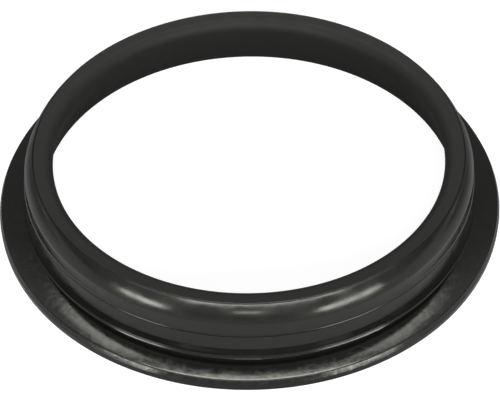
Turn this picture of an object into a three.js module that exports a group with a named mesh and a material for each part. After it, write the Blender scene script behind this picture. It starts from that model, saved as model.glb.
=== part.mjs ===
// A pipe sealing ring of black rubber, moulded in one piece.
// Millimetres, +Z up, the ring's axis on Z and its foot on Z = 0.
// A foot flange carries a low band with a knee, and above a crease a bead stands on the band.
// A thick lip leans in from the bead's rim and grips the pipe, and the bore widens below it.

import * as THREE from "three";

// Lip that grips the pipe, and the land that slopes from it to the rim
const lipRadius = 53.8;
const lipHeight = 16.4;
const lipRound = 2.7;
const landSlope = THREE.MathUtils.degToRad(7.5);

// Bead above the crease: a nearly upright wall that rolls in to a long shoulder
const beadWidth = 7.8;
const beadFootHeight = 11.2;
const beadTaper = THREE.MathUtils.degToRad(6);
const beadTurnHeight = 14.3;
const beadTurnRadius = 2.5;
const beadTurn = THREE.MathUtils.degToRad(22);
const shoulderRadius = 14.8;
const rimRound = 0.5;

// Ledge at the bead's foot, and the band that draws in under it at the crease
const ledgeStep = 0.52;
const ledgeHeight = 10.9;
const creaseStep = 0.38;
const creaseHeight = 10.5;

// Band below the crease: it flares up from the flange to a knee, then tapers to the crease
const kneeStep = 1.2;
const kneeHeight = 6.8;
const rootStep = 1.45;
const flareRadius = 3.44;
const flareFoot = THREE.MathUtils.degToRad(38);
const flareTop = THREE.MathUtils.degToRad(-20);

// Foot flange: a drafted edge face, and a top that falls away outwards
const flangeWidth = 6.95;
const flangeRootHeight = 3.5;
const flangeEdgeHeight = 2.75;
const flangeEdgeDraft = 0.65;
const flangeEdgeRound = 0.3;

// Bore below the lip
const boreFlare = THREE.MathUtils.degToRad(18.5);
const mouthRound = 5.6;

// Radii of the outside, stepping out from the lip
const beadRadius = lipRadius + beadWidth;
const ledgeRadius = beadRadius + ledgeStep;
const kneeRadius = beadRadius + kneeStep;
const creaseRadius = beadRadius + creaseStep;
const rootRadius = beadRadius + rootStep;
const flangeRadius = rootRadius + flangeWidth;

// Facets
const turnSteps = 128;
const arcStep = THREE.MathUtils.degToRad(13);

const UP = Math.PI / 2;

// A point of the section: r outwards from the axis, z upwards.
function point(r, z) {
  return new THREE.Vector2(r, z);
}

// Point at an angle on a circle, the angle taken from straight outwards towards up.
function onCircle(centre, radius, angle) {
  return point(centre.x + radius * Math.cos(angle), centre.y + radius * Math.sin(angle));
}

// Arc from one angle to another in even steps, both ends included.
function arc(centre, radius, from, to) {
  const steps = Math.max(2, Math.ceil(Math.abs(to - from) / arcStep));
  const points = [];
  for (let i = 0; i <= steps; i += 1) {
    points.push(onCircle(centre, radius, from + ((to - from) * i) / steps));
  }
  return points;
}

// Point a given way along from one point towards another.
function along(from, to, distance) {
  return from.clone().addScaledVector(to.clone().sub(from).normalize(), distance);
}

// Top of the flange's edge face, where it breaks on to the flange's top.
function edgeTop() {
  return point(flangeRadius - flangeEdgeDraft, flangeEdgeHeight);
}

// Where the flange's top runs into the band.
function bandRoot() {
  return point(rootRadius, flangeRootHeight);
}

// The flange: a drafted edge face, a broken top edge, and a top that rises gently to the root.
function flangeSection() {
  const foot = point(flangeRadius, 0);
  const edgeEnd = along(edgeTop(), foot, flangeEdgeRound);
  const topStart = along(edgeTop(), bandRoot(), flangeEdgeRound);
  return [foot, edgeEnd, topStart];
}

// The hollow flare at the band's foot, the knee above it, the crease, and the ledge over it.
function bandSection() {
  const flareCentre = onCircle(bandRoot(), flareRadius, flareFoot);
  const flare = arc(flareCentre, flareRadius, Math.PI + flareFoot, Math.PI + flareTop).slice(0, -1);
  const knee = point(kneeRadius, kneeHeight);
  const crease = point(creaseRadius, creaseHeight);
  const ledge = point(ledgeRadius, ledgeHeight);
  return [...flare, knee, crease, ledge];
}

// The bead's wall, its long shoulder, and the rim where it breaks on to the land.
function beadSection() {
  const turnCentre = point(beadRadius - beadTurnRadius, beadTurnHeight);
  const centre = onCircle(turnCentre, beadTurnRadius - shoulderRadius, beadTurn);
  const lip = point(lipRadius + lipRound, lipHeight);
  const landNormal = UP + landSlope;
  const inwards = point(Math.cos(landNormal), Math.sin(landNormal));
  const landDepth = lip.clone().sub(centre).dot(inwards) + lipRound - rimRound;
  const reach = Math.sqrt((shoulderRadius - rimRound) ** 2 - landDepth ** 2);
  const outwards = point(inwards.y, -inwards.x);
  const rimCentre = centre.clone().addScaledVector(inwards, landDepth).addScaledVector(outwards, reach);
  const meet = rimCentre.clone().sub(centre).angle();
  const turn = arc(turnCentre, beadTurnRadius, beadTaper, beadTurn);
  const wallHeight = turn[0].y - beadFootHeight;
  const foot = point(turn[0].x + wallHeight * Math.tan(beadTaper), beadFootHeight);
  const shoulder = arc(centre, shoulderRadius, beadTurn, meet).slice(1);
  const rim = arc(rimCentre, rimRound, meet, landNormal).slice(1);
  return [foot, ...turn, ...shoulder, ...rim];
}

// The rounded lip, the flaring bore below it, and the mouth that rounds on to the underside.
function boreSection() {
  const wallNormal = Math.PI + boreFlare;
  const lipCentre = point(lipRadius + lipRound, lipHeight);
  const lip = arc(lipCentre, lipRound, UP + landSlope, wallNormal);
  const wallTop = lip[lip.length - 1];
  const drop = wallTop.y - mouthRound * (1 + Math.sin(wallNormal));
  const wallFoot = point(wallTop.x + drop * Math.tan(boreFlare), wallTop.y - drop);
  const mouthCentre = onCircle(wallFoot, -mouthRound, wallNormal);
  return [...lip, ...arc(mouthCentre, mouthRound, wallNormal, 1.5 * Math.PI)];
}

// The section runs up the outside, over the rim and down the bore, and closes on itself.
function ringSection() {
  const section = [...flangeSection(), ...bandSection(), ...beadSection(), ...boreSection()];
  section.push(section[0].clone());
  return section;
}

function blackRubber() {
  return new THREE.MeshStandardMaterial({ color: 0x2b2b29, roughness: 0.38, metalness: 0 });
}

function sealingRing() {
  const geometry = new THREE.LatheGeometry(ringSection(), turnSteps);
  geometry.rotateX(UP);
  const mesh = new THREE.Mesh(geometry, blackRubber());
  mesh.name = "sealing_ring";
  return mesh;
}

const part = new THREE.Group();
part.add(sealingRing());

export default part;
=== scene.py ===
"""A black rubber pipe sealing ring on a pale floor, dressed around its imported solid."""

from math import acos, atan2, ceil, cos, pi, radians, sin, sqrt, tan

import bmesh
import bpy
from mathutils import Matrix, Vector


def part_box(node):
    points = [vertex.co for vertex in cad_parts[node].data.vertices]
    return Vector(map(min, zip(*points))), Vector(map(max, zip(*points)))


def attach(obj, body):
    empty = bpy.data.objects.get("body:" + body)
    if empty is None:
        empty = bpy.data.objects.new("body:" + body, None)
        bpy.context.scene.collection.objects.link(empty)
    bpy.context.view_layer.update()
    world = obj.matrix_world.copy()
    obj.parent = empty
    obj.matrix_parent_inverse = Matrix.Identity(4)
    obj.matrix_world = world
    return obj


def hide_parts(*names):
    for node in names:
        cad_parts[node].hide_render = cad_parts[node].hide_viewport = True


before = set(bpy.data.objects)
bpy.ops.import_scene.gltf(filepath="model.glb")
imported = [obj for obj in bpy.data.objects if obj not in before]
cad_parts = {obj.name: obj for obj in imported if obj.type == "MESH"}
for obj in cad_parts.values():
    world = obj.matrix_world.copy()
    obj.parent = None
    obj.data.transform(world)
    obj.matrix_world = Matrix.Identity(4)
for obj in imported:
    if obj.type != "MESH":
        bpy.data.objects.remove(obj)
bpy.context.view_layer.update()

MM = 0.001
UP = pi / 2

# Outer size, from the solid
FOOT_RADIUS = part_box("sealing_ring")[1].x

# Edge face of the flange: upright at the foot, leaning in above a soft break
FOOT_ROUND = 0.03 * MM
EDGE_BREAK_HEIGHT = 1.55 * MM
EDGE_BREAK_ROUND = 0.5 * MM
EDGE_STEP = 0.65 * MM
EDGE_HEIGHT = 2.75 * MM
EDGE_TOP_ROUND = 0.08 * MM

# Top of the flange: a fine line round its edge, and a slight crown that falls away outwards
EDGE_LINE_STEP = 0.2 * MM
EDGE_LINE_HALF_WIDTH = 0.13 * MM
EDGE_LINE_DEPTH = 0.12 * MM
FLANGE_WIDTH = 6.95 * MM
FLANGE_ROOT_HEIGHT = 3.28 * MM
FLANGE_CROWN = 0.05 * MM
ROOT_ROUND = 0.02 * MM

# Band: it flares up from the flange to a neck, stands out at a knee, and tapers to the crease
FLARE_FOOT = radians(34)
FLARE_TOP = radians(12)
FLARE_RADIUS = 3.44 * MM
NECK_STEP = 0.66 * MM
NECK_HEIGHT = 6.5 * MM
NECK_ROUND = 0.15 * MM
KNEE_STEP = 1.2 * MM
KNEE_HEIGHT = 6.8 * MM
KNEE_ROUND = 0.15 * MM

# Crease: the band draws in under a narrow ledge at the bead's foot
CREASE_STEP = 0.38 * MM
CREASE_HEIGHT = 10.5 * MM
CREASE_ROUND = 0.15 * MM
LEDGE_STEP = 0.52 * MM
LEDGE_HEIGHT = 10.9 * MM
LEDGE_ROUND = 0.09 * MM

# Bead: a nearly upright wall, a long shoulder, and a rim with the parting line of the mould
BEAD_INSET = 8.4 * MM
BEAD_WIDTH = 7.8 * MM
BEAD_FOOT_HEIGHT = 11.2 * MM
BEAD_TAPER = radians(6)
BEAD_TURN_HEIGHT = 14.3 * MM
BEAD_TURN_RADIUS = 2.5 * MM
BEAD_TURN = radians(22)
SHOULDER_RADIUS = 14.8 * MM
RIM_ROUND = 0.6 * MM
PARTING_SHARE = 0.62
PARTING_DEPTH = 0.22 * MM
PARTING_HALF_WIDTH = 0.2 * MM

# Lip and bore
LIP_HEIGHT = 16.4 * MM
LIP_ROUND = 2.7 * MM
LIP_DRAW = 0.2 * MM
LAND_SLOPE = radians(7.5)
BORE_FLARE = radians(18.5)
MOUTH_ROUND = 5.6 * MM

BEAD_RADIUS = FOOT_RADIUS - BEAD_INSET
LIP_RADIUS = BEAD_RADIUS - BEAD_WIDTH - LIP_DRAW
LAND_NORMAL = UP + LAND_SLOPE

# A fine groove's section, in shares of its half width and its depth
GROOVE_SHAPE = [
    (-1, 0), (-0.8, -0.5), (-0.6, -1), (-0.35, -1),
    (-0.2, -0.45), (0, -0.2), (0.35, -0.06), (1, 0),
]

# Facets of the looks mesh
TURN_STEPS = 400
ARC_STEP = radians(5)
RUN_STEP = 0.6 * MM
CROWN_STEPS = 8


def point(r, z):
    """A point of the section: r outwards from the axis, z upwards."""
    return Vector((r, z))


def way(angle):
    """A unit step, at an angle from straight outwards towards up."""
    return Vector((cos(angle), sin(angle)))


def arc(centre, radius, start, end):
    steps = max(2, ceil(abs(end - start) / ARC_STEP))
    return [centre + radius * way(start + (end - start) * i / steps) for i in range(steps + 1)]


def round_corner(before, corner, after, radius):
    """An arc that touches both runs at a corner, whichever way the corner turns."""
    into = (before - corner).normalized()
    out = (after - corner).normalized()
    half = acos(into.dot(out)) / 2
    centre = corner + (into + out).normalized() * (radius / sin(half))
    start = corner + into * (radius / tan(half)) - centre
    end = corner + out * (radius / tan(half)) - centre
    begin = atan2(start.y, start.x)
    turn = (atan2(end.y, end.x) - begin + pi) % (2 * pi) - pi
    return arc(centre, radius, begin, begin + turn)


def groove(middle, normal, half_width, depth):
    """A fine groove round the ring, from its outer side inwards, where it eases out."""
    inwards = Vector((-normal.y, normal.x))
    return [middle + inwards * (half_width * a) + normal * (depth * d) for a, d in GROOVE_SHAPE]


def edge_top():
    """Where the flange's edge face meets its top."""
    return point(FOOT_RADIUS - EDGE_STEP, EDGE_HEIGHT)


def band_root():
    """Where the flange's top meets the band."""
    return point(FOOT_RADIUS - FLANGE_WIDTH, FLANGE_ROOT_HEIGHT)


def flange_crown():
    """The flange's top between its edge line and its root, a shallow arc that stands up a little."""
    edge = edge_top()
    chord = band_root() - edge
    upwards = Vector((chord.y, -chord.x)).normalized()
    shares = [k / CROWN_STEPS for k in range(2, CROWN_STEPS)]
    return [edge + chord * t + upwards * (4 * FLANGE_CROWN * t * (1 - t)) for t in shares]


def flange_section():
    """The edge face with its break, the fine line round the edge, and the crowned top."""
    edge, root = edge_top(), band_root()
    under = point(root.x, 0)
    foot = point(FOOT_RADIUS, 0)
    edge_break = point(FOOT_RADIUS, EDGE_BREAK_HEIGHT)
    inwards = (root - edge).normalized()
    upwards = Vector((inwards.y, -inwards.x))
    return [
        *round_corner(under, foot, edge_break, FOOT_ROUND),
        *round_corner(foot, edge_break, edge, EDGE_BREAK_ROUND),
        *round_corner(edge_break, edge, root, EDGE_TOP_ROUND),
        *groove(edge + inwards * EDGE_LINE_STEP, upwards, EDGE_LINE_HALF_WIDTH, EDGE_LINE_DEPTH),
        *flange_crown(),
    ]


def band_section():
    """The flare that rises from the flange, the neck, the knee, the crease and the ledge."""
    root = band_root()
    neck = point(BEAD_RADIUS + NECK_STEP, NECK_HEIGHT)
    knee = point(BEAD_RADIUS + KNEE_STEP, KNEE_HEIGHT)
    crease = point(BEAD_RADIUS + CREASE_STEP, CREASE_HEIGHT)
    ledge = point(BEAD_RADIUS + LEDGE_STEP, LEDGE_HEIGHT)
    flare_centre = root + FLARE_RADIUS * way(FLARE_FOOT)
    flare = arc(flare_centre, FLARE_RADIUS, FLARE_FOOT + pi, FLARE_TOP + pi)
    return [
        *round_corner(flange_crown()[-1], root, flare[1], ROOT_ROUND),
        *flare[1:],
        *round_corner(flare[-1], neck, knee, NECK_ROUND),
        *round_corner(neck, knee, crease, KNEE_ROUND),
        *round_corner(knee, crease, ledge, CREASE_ROUND),
        *round_corner(crease, ledge, bead_foot(), LEDGE_ROUND),
    ]


def turn_centre():
    """Centre of the short arc between the bead's wall and its shoulder."""
    return point(BEAD_RADIUS - BEAD_TURN_RADIUS, BEAD_TURN_HEIGHT)


def bead_foot():
    """Foot of the bead's wall, on the ledge."""
    wall_top = turn_centre() + BEAD_TURN_RADIUS * way(BEAD_TAPER)
    wall = wall_top.y - BEAD_FOOT_HEIGHT
    return wall_top + Vector((wall * tan(BEAD_TAPER), -wall))


def rim_place(shoulder_centre):
    """Centre of the rim's round, which touches both the shoulder and the land."""
    inwards = way(LAND_NORMAL)
    lip_centre = point(LIP_RADIUS + LIP_ROUND, LIP_HEIGHT)
    land_depth = (lip_centre - shoulder_centre).dot(inwards) + LIP_ROUND - RIM_ROUND
    reach = sqrt((SHOULDER_RADIUS - RIM_ROUND) ** 2 - land_depth ** 2)
    return shoulder_centre + inwards * land_depth + Vector((inwards.y, -inwards.x)) * reach


def bead_section():
    """The bead's wall, its long shoulder, and the rim with the parting line."""
    shoulder_centre = turn_centre() + (BEAD_TURN_RADIUS - SHOULDER_RADIUS) * way(BEAD_TURN)
    rim_centre = rim_place(shoulder_centre)
    meet = atan2(rim_centre.y - shoulder_centre.y, rim_centre.x - shoulder_centre.x)
    split = meet + PARTING_SHARE * (LAND_NORMAL - meet)
    half_angle = PARTING_HALF_WIDTH / RIM_ROUND
    normal = way(split)
    return [
        bead_foot(),
        *arc(turn_centre(), BEAD_TURN_RADIUS, BEAD_TAPER, BEAD_TURN),
        *arc(shoulder_centre, SHOULDER_RADIUS, BEAD_TURN, meet)[1:],
        *arc(rim_centre, RIM_ROUND, meet, split - half_angle)[1:-1],
        *groove(rim_centre + RIM_ROUND * normal, normal, PARTING_HALF_WIDTH, PARTING_DEPTH),
        *arc(rim_centre, RIM_ROUND, split + half_angle, LAND_NORMAL)[1:],
    ]


def bore_section():
    """The rounded lip, the flaring bore, and the mouth that rounds on to the underside."""
    wall_normal = pi + BORE_FLARE
    lip = arc(point(LIP_RADIUS + LIP_ROUND, LIP_HEIGHT), LIP_ROUND, LAND_NORMAL, wall_normal)
    top = lip[-1]
    drop = top.y - MOUTH_ROUND * (1 + sin(wall_normal))
    foot = point(top.x + drop * tan(BORE_FLARE), top.y - drop)
    mouth_centre = foot - MOUTH_ROUND * way(wall_normal)
    return [*lip, *arc(mouth_centre, MOUTH_ROUND, wall_normal, 1.5 * pi)]


def ring_section():
    """The closed section with its long straight runs split into short ones."""
    corners = [*flange_section(), *band_section(), *bead_section(), *bore_section()]
    section = []
    for i, start in enumerate(corners):
        end = corners[(i + 1) % len(corners)]
        pieces = max(1, ceil((end - start).length / RUN_STEP))
        section += [start.lerp(end, k / pieces) for k in range(pieces)]
    return section


def ring_mesh():
    """The section turned round the axis, with the matt rubber from just inside the rim."""
    section = ring_section()
    count = len(section)
    rim_top = max(range(count), key=lambda k: section[k].y)
    matt_start = rim_top + 2
    mesh = bmesh.new()
    loops = []
    for step in range(TURN_STEPS):
        angle = 2 * pi * step / TURN_STEPS
        loops.append([mesh.verts.new((p.x * cos(angle), p.x * sin(angle), p.y)) for p in section])
    for step, loop in enumerate(loops):
        after = loops[(step + 1) % TURN_STEPS]
        for k in range(count):
            n = (k + 1) % count
            face = mesh.faces.new((loop[k], after[k], after[n], loop[n]))
            face.smooth = True
            face.material_index = int(k >= matt_start)
    data = bpy.data.meshes.new("rubber_ring")
    mesh.to_mesh(data)
    mesh.free()
    return data


def node_maker(material):
    """A function that adds a node to a material or world, with its inputs set or linked."""
    tree = material.node_tree

    def add(kind, inputs=None, **settings):
        node = tree.nodes.new(kind)
        for name, value in settings.items():
            setattr(node, name, value)
        for socket, value in (inputs or {}).items():
            if isinstance(value, bpy.types.NodeSocket):
                tree.links.new(value, node.inputs[socket])
            else:
                node.inputs[socket].default_value = value
        return node

    return add


def section_place(add):
    """The place itself, its distance from the axis, and its height, in metres."""
    place = add("ShaderNodeTexCoord").outputs["Object"]
    parts = add("ShaderNodeSeparateXYZ", {0: place})
    flat = add("ShaderNodeCombineXYZ", {0: parts.outputs["X"], 1: parts.outputs["Y"]})
    radius = add("ShaderNodeVectorMath", {0: flat.outputs[0]}, operation="LENGTH")
    return place, radius.outputs["Value"], parts.outputs["Z"]


def ramp(add, value, start, end, low=0.0, high=1.0):
    """A smooth change from low to high while a value goes from start to end."""
    return add("ShaderNodeMapRange",
               {"Value": value, "From Min": start, "From Max": end, "To Min": low, "To Max": high},
               interpolation_type="SMOOTHSTEP").outputs[0]


def noise(add, place, size, detail, seed=0.0):
    return add("ShaderNodeTexNoise", {"Vector": place, "W": seed, "Scale": 1 / size, "Detail": detail},
               noise_dimensions="4D").outputs["Fac"]


def calc(add, operation, *values):
    return add("ShaderNodeMath", dict(enumerate(values)), operation=operation).outputs[0]


def blend(add, share, low, high):
    """From one value to another, by a share of 0 to 1."""
    return calc(add, "MULTIPLY_ADD", share, calc(add, "SUBTRACT", high, low), low)


# Rubber: the outer face is glossy, the land and the bore are matt
RUBBER_COLOUR = (0.005, 0.005, 0.0047, 1)
LAND_COLOUR = (0.02, 0.02, 0.0185, 1)
SPECULAR_TINT = (0.99, 1, 0.91, 1)
BEAD_SPECULAR = 0.3
LAND_SPECULAR = 0.1
BEAD_ROUGHNESS = (0.13, 0.24)
FLANGE_ROUGHNESS = (0.08, 0.16)
EDGE_ROUGHNESS = (0.12, 0.28)
LAND_ROUGHNESS = (0.5, 0.6)

# Unevenness of the moulded face: the noise's range that counts, its sizes and its depths
NOISE_LOW = 0.3
NOISE_HIGH = 0.7
CLOUD_SIZE = 5 * MM
CLOUD_DETAIL = 4
CLOUD_DEPTH = 0.035 * MM
MOTTLE_SIZE = 1.3 * MM
MOTTLE_DETAIL = 3
MOTTLE_SEED = 3
MOTTLE_DEPTH = 0.013 * MM
EDGE_DEPTH = 0.03 * MM
GRAIN_SIZE = 0.3 * MM
GRAIN_DETAIL = 2
GRAIN_SEED = 7
GRAIN_DEPTH = 0.004 * MM
LAND_CLOUD_SEED = 11
LAND_GRAIN_SEED = 13

# Where the flange's finish ends at the band, and the edge face's finish starts
FLANGE_FADE = 0.4 * MM
EDGE_FADE_START = -0.1 * MM
EDGE_FADE_END = 0.05 * MM


def finish_zones(add, radius, height):
    """1 on the flange, and 1 on its edge face, each fading to 0 beyond it."""
    edge_radius = FOOT_RADIUS - EDGE_STEP
    flange = ramp(add, height, FLANGE_ROOT_HEIGHT + FLANGE_FADE, FLANGE_ROOT_HEIGHT)
    edge = ramp(add, radius, edge_radius + EDGE_FADE_START, edge_radius + EDGE_FADE_END)
    return flange, edge


def uneven(add, cloud, span):
    """A roughness that wanders over its span with the noise."""
    return ramp(add, cloud, NOISE_LOW, NOISE_HIGH, *span)


def outer_rubber():
    """Black rubber from the polished half of the mould, smoothest on the flange's top."""
    material = bpy.data.materials.new("outer_rubber")
    material.use_nodes = True
    add = node_maker(material)
    place, radius, height = section_place(add)
    flange, edge = finish_zones(add, radius, height)
    cloud = noise(add, place, CLOUD_SIZE, CLOUD_DETAIL)
    mottle = noise(add, place, MOTTLE_SIZE, MOTTLE_DETAIL, MOTTLE_SEED)
    grain = noise(add, place, GRAIN_SIZE, GRAIN_DETAIL, GRAIN_SEED)
    top_rough = blend(add, flange, uneven(add, cloud, BEAD_ROUGHNESS), uneven(add, mottle, FLANGE_ROUGHNESS))
    rough = blend(add, edge, top_rough, uneven(add, mottle, EDGE_ROUGHNESS))
    depth = calc(add, "MAXIMUM", calc(add, "MULTIPLY", flange, MOTTLE_DEPTH),
                 calc(add, "MULTIPLY", edge, EDGE_DEPTH))
    fine = calc(add, "MULTIPLY_ADD", grain, GRAIN_DEPTH, calc(add, "MULTIPLY", cloud, CLOUD_DEPTH))
    relief = calc(add, "MULTIPLY_ADD", mottle, depth, fine)
    finish_shader(add, material, RUBBER_COLOUR, BEAD_SPECULAR, rough, relief)
    return material


def inner_rubber():
    """Black rubber from the other half of the mould, with an even matt face."""
    material = bpy.data.materials.new("inner_rubber")
    material.use_nodes = True
    add = node_maker(material)
    place = section_place(add)[0]
    cloud = noise(add, place, CLOUD_SIZE, CLOUD_DETAIL, LAND_CLOUD_SEED)
    grain = noise(add, place, GRAIN_SIZE, GRAIN_DETAIL, LAND_GRAIN_SEED)
    relief = calc(add, "MULTIPLY", grain, GRAIN_DEPTH)
    finish_shader(add, material, LAND_COLOUR, LAND_SPECULAR, uneven(add, cloud, LAND_ROUGHNESS), relief)
    return material


def finish_shader(add, material, colour, specular, rough, relief):
    """Colour and sheen on the material's shader, with the relief in metres as bump."""
    bump = add("ShaderNodeBump", {"Height": relief, "Distance": 1.0, "Strength": 1.0})
    shader = material.node_tree.nodes["Principled BSDF"]
    shader.inputs["Base Color"].default_value = colour
    shader.inputs["Specular IOR Level"].default_value = specular
    shader.inputs["Specular Tint"].default_value = SPECULAR_TINT
    material.node_tree.links.new(rough, shader.inputs["Roughness"])
    material.node_tree.links.new(bump.outputs[0], shader.inputs["Normal"])


def sealing_ring():
    ring = bpy.data.objects.new("rubber_ring", ring_mesh())
    bpy.context.scene.collection.objects.link(ring)
    ring.data.materials.append(outer_rubber())
    ring.data.materials.append(inner_rubber())
    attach(ring, "root")
    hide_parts("sealing_ring")


# Camera: pitch and roll in radians, place in metres
CAMERA_PITCH = 0.77997
CAMERA_ROLL = -0.01505
CAMERA_PLACE = Vector((0.00013, -0.27042, 0.26383))
CAMERA_LENS = 95.95
CAMERA_SHIFT_Y = 0.0014
CAMERA_CLIP_START = 0.01


def camera():
    look_down = Vector((0, cos(CAMERA_PITCH), -sin(CAMERA_PITCH)))
    right = Vector((1, 0, 0))
    up = right.cross(look_down)
    rolled_right = right * cos(CAMERA_ROLL) + up * sin(CAMERA_ROLL)
    rolled_up = up * cos(CAMERA_ROLL) - right * sin(CAMERA_ROLL)
    data = bpy.data.cameras.new("camera")
    data.lens = CAMERA_LENS
    data.shift_y = CAMERA_SHIFT_Y
    data.clip_start = CAMERA_CLIP_START
    view = bpy.data.objects.new("camera", data)
    axes = Matrix((rolled_right, rolled_up, -look_down)).transposed()
    view.matrix_world = Matrix.Translation(CAMERA_PLACE) @ axes.to_4x4()
    bpy.context.scene.collection.objects.link(view)
    bpy.context.scene.camera = view


# Lamps, in degrees: azimuth from the camera's side, positive to the right, and elevation
LAMP_DISTANCE = 1.2
LAMPS = {
    "left_strip": dict(azimuth=-46, elevation=4, spread=(20, 7), radiance=18),
    "right_strip": dict(azimuth=42, elevation=4, spread=(28, 7), radiance=18),
    "middle_strip": dict(azimuth=-0.5, elevation=16, spread=(12, 3), radiance=14),
    "upper_strip": dict(azimuth=6, elevation=33, spread=(64, 7), radiance=21),
    "upper_left": dict(azimuth=-42, elevation=35, spread=(32, 7), radiance=8),
    "upper_right": dict(azimuth=52, elevation=35, spread=(36, 7), radiance=9),
    "high_strip": dict(azimuth=4, elevation=58, spread=(30, 6), radiance=10),
    "back_panel": dict(azimuth=180, elevation=74, spread=(24, 11), radiance=18),
    "left_wing": dict(azimuth=165, elevation=58, spread=(15, 9), radiance=5),
    "right_wing": dict(azimuth=-165, elevation=58, spread=(15, 9), radiance=6.5),
}

# Lamps that show in reflections and don't light the floor
MIRRORED_ONLY = ("back_panel", "left_wing", "right_wing", "high_strip", "upper_left", "upper_right")


def lamp(name, azimuth, elevation, spread, radiance):
    """A plain rectangular lamp, sized by the angles that it spans as seen from the ring."""
    turn, rise = radians(azimuth), radians(elevation)
    away = Vector((sin(turn) * cos(rise), -cos(turn) * cos(rise), sin(rise)))
    data = bpy.data.lights.new(name, "AREA")
    data.shape = "RECTANGLE"
    data.size, data.size_y = [2 * LAMP_DISTANCE * tan(radians(angle) / 2) for angle in spread]
    data.energy = radiance * pi * data.size * data.size_y
    light = bpy.data.objects.new(name, data)
    light.location = away * LAMP_DISTANCE
    light.rotation_euler = away.to_track_quat("Z", "Y").to_euler()
    light.visible_camera = False
    light.visible_diffuse = name not in MIRRORED_ONLY
    bpy.context.scene.collection.objects.link(light)


# Levels of the even light and of the room in reflections
EVEN_LEVEL = 0.35
FRONT_LEVEL = 1.05
SIDE_LEVEL = 0.3
STREAK_LEVEL = 1.3
UPPER_LEVEL = 1.1
UPPER_BACK_LEVEL = 0.4
CEILING_LEVEL = 2.0
HORIZON_FRONT_SHARE = 0.65

# Where the levels change, in parts of a unit direction: upwards, or along Y away from the camera
FRONT_START = 0.1
FRONT_END = -0.8
UPPER_BACK_START = 0.5
UPPER_BACK_END = 0.66
STREAK_TOP = 0.12
HORIZON_HALF = 0.2
UPPER_START = 0.25
UPPER_END = 0.5
CEILING_START = 0.84
CEILING_END = 0.94


def seen_directly(add):
    """The light path, and 1 for rays that see a thing directly or through glass."""
    path = add("ShaderNodeLightPath")
    return path, calc(add, "MAXIMUM", path.outputs["Is Camera Ray"], path.outputs["Is Transmission Ray"])


def surroundings(add):
    """The room in reflections: light in front and overhead, dim at the sides and the back."""
    direction = add("ShaderNodeSeparateXYZ", {0: add("ShaderNodeTexCoord").outputs["Generated"]})
    away, rise = direction.outputs["Y"], direction.outputs["Z"]
    steep = calc(add, "ABSOLUTE", rise)
    front = ramp(add, away, FRONT_START, FRONT_END)
    horizon = ramp(add, steep, HORIZON_HALF, HORIZON_HALF / 2, 1.0, HORIZON_FRONT_SHARE)
    ahead = calc(add, "MULTIPLY", calc(add, "MULTIPLY", front, FRONT_LEVEL), horizon)
    streak = ramp(add, steep, STREAK_TOP, 0.0, SIDE_LEVEL, STREAK_LEVEL)
    around = calc(add, "MULTIPLY_ADD", calc(add, "SUBTRACT", 1.0, front), streak, ahead)
    upper_level = ramp(add, away, UPPER_BACK_START, UPPER_BACK_END, UPPER_LEVEL, UPPER_BACK_LEVEL)
    upper = calc(add, "MULTIPLY", ramp(add, rise, UPPER_START, UPPER_END), upper_level)
    ceiling = ramp(add, rise, CEILING_START, CEILING_END, 0.0, CEILING_LEVEL)
    return calc(add, "MAXIMUM", calc(add, "MAXIMUM", around, upper), ceiling)


def white_world():
    """White where it is seen directly, the room in reflections, and an even soft light."""
    world = bpy.data.worlds.new("world")
    bpy.context.scene.world = world
    world.use_nodes = True
    add = node_maker(world)
    background = world.node_tree.nodes["Background"]
    background.inputs["Color"].default_value = (1, 1, 1, 1)
    path, seen = seen_directly(add)
    glossy = path.outputs["Is Glossy Ray"]
    mirrored = calc(add, "MULTIPLY", glossy, surroundings(add))
    even = calc(add, "MULTIPLY", calc(add, "SUBTRACT", 1.0, glossy), EVEN_LEVEL)
    shown = calc(add, "MAXIMUM", seen, calc(add, "ADD", mirrored, even))
    world.node_tree.links.new(shown, background.inputs["Strength"])


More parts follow.
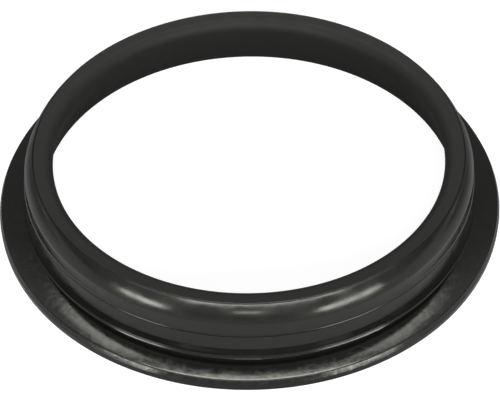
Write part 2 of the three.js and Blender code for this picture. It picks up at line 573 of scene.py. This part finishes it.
# Floor: white where it is seen; in reflections it shows a painted glow, brightest in front of the ring, with
# painted shade at the ring's foot
FLOOR_HALF = 1.5
FLOOR_DROP = 0.02 * MM
FLOOR_COLOUR = (0.3, 0.3, 0.3, 1)
FLOOR_LIFT = 0.9
# Painted light and shade in the floor's glow in reflections: the share left at the ring's foot (painted
# shade), the slow fall farther out, and the pool in front of the ring
FLOOR_SHADED_FOOT_SHARE = 0.35
FLOOR_NEAR_SHARE = 0.98
FLOOR_FAR_SHARE = 0.8
FLOOR_NEAR = 77 * MM
FLOOR_FAR = 130 * MM
FLOOR_FRONT_START = 40 * MM
FLOOR_FRONT_END = -50 * MM


def floor_mesh():
    near, far = -FLOOR_HALF, FLOOR_HALF
    mesh = bpy.data.meshes.new("floor")
    corners = [(near, near), (far, near), (far, far), (near, far)]
    mesh.from_pydata([(x, y, -FLOOR_DROP) for x, y in corners], [], [(0, 1, 2, 3)])
    return mesh


def floor_painted_glow(add):
    """How much the floor shines: evenly to the eye, and in reflections as a painted glow that is brightest
    in front of the ring, fades farther out, and has painted shade at the ring's foot.
    """
    path, seen = seen_directly(add)
    place, radius, _ = section_place(add)
    away = add("ShaderNodeSeparateXYZ", {0: place}).outputs["Y"]
    # Painted light and shade for reflections only: a pool in front, painted shade at the foot, a painted
    # falloff farther out
    front = ramp(add, away, FLOOR_FRONT_START, FLOOR_FRONT_END)
    painted_foot_shade = ramp(add, radius, FOOT_RADIUS, FLOOR_NEAR, FLOOR_SHADED_FOOT_SHARE, 1.0)
    painted_falloff = ramp(add, radius, FLOOR_NEAR, FLOOR_FAR, FLOOR_NEAR_SHARE, FLOOR_FAR_SHARE)
    share = calc(add, "MULTIPLY", painted_foot_shade, painted_falloff)
    mirrored = calc(add, "MULTIPLY", calc(add, "MULTIPLY", path.outputs["Is Glossy Ray"], front), share)
    return calc(add, "MULTIPLY", calc(add, "MAXIMUM", seen, mirrored), FLOOR_LIFT)


def pale_floor():
    floor = bpy.data.objects.new("floor", floor_mesh())
    bpy.context.scene.collection.objects.link(floor)
    material = bpy.data.materials.new("floor_white")
    material.use_nodes = True
    shader = material.node_tree.nodes["Principled BSDF"]
    shader.inputs["Base Color"].default_value = FLOOR_COLOUR
    shader.inputs["Roughness"].default_value = 1.0
    shader.inputs["Specular IOR Level"].default_value = 0.0
    shader.inputs["Emission Color"].default_value = (1, 1, 1, 1)
    material.node_tree.links.new(floor_painted_glow(node_maker(material)), shader.inputs["Emission Strength"])
    floor.data.materials.append(material)


bpy.context.scene.view_settings.view_transform = "Standard"
camera()
white_world()
for lamp_name, lamp_settings in LAMPS.items():
    lamp(lamp_name, **lamp_settings)
pale_floor()
sealing_ring()

bpy.context.view_layer.update()
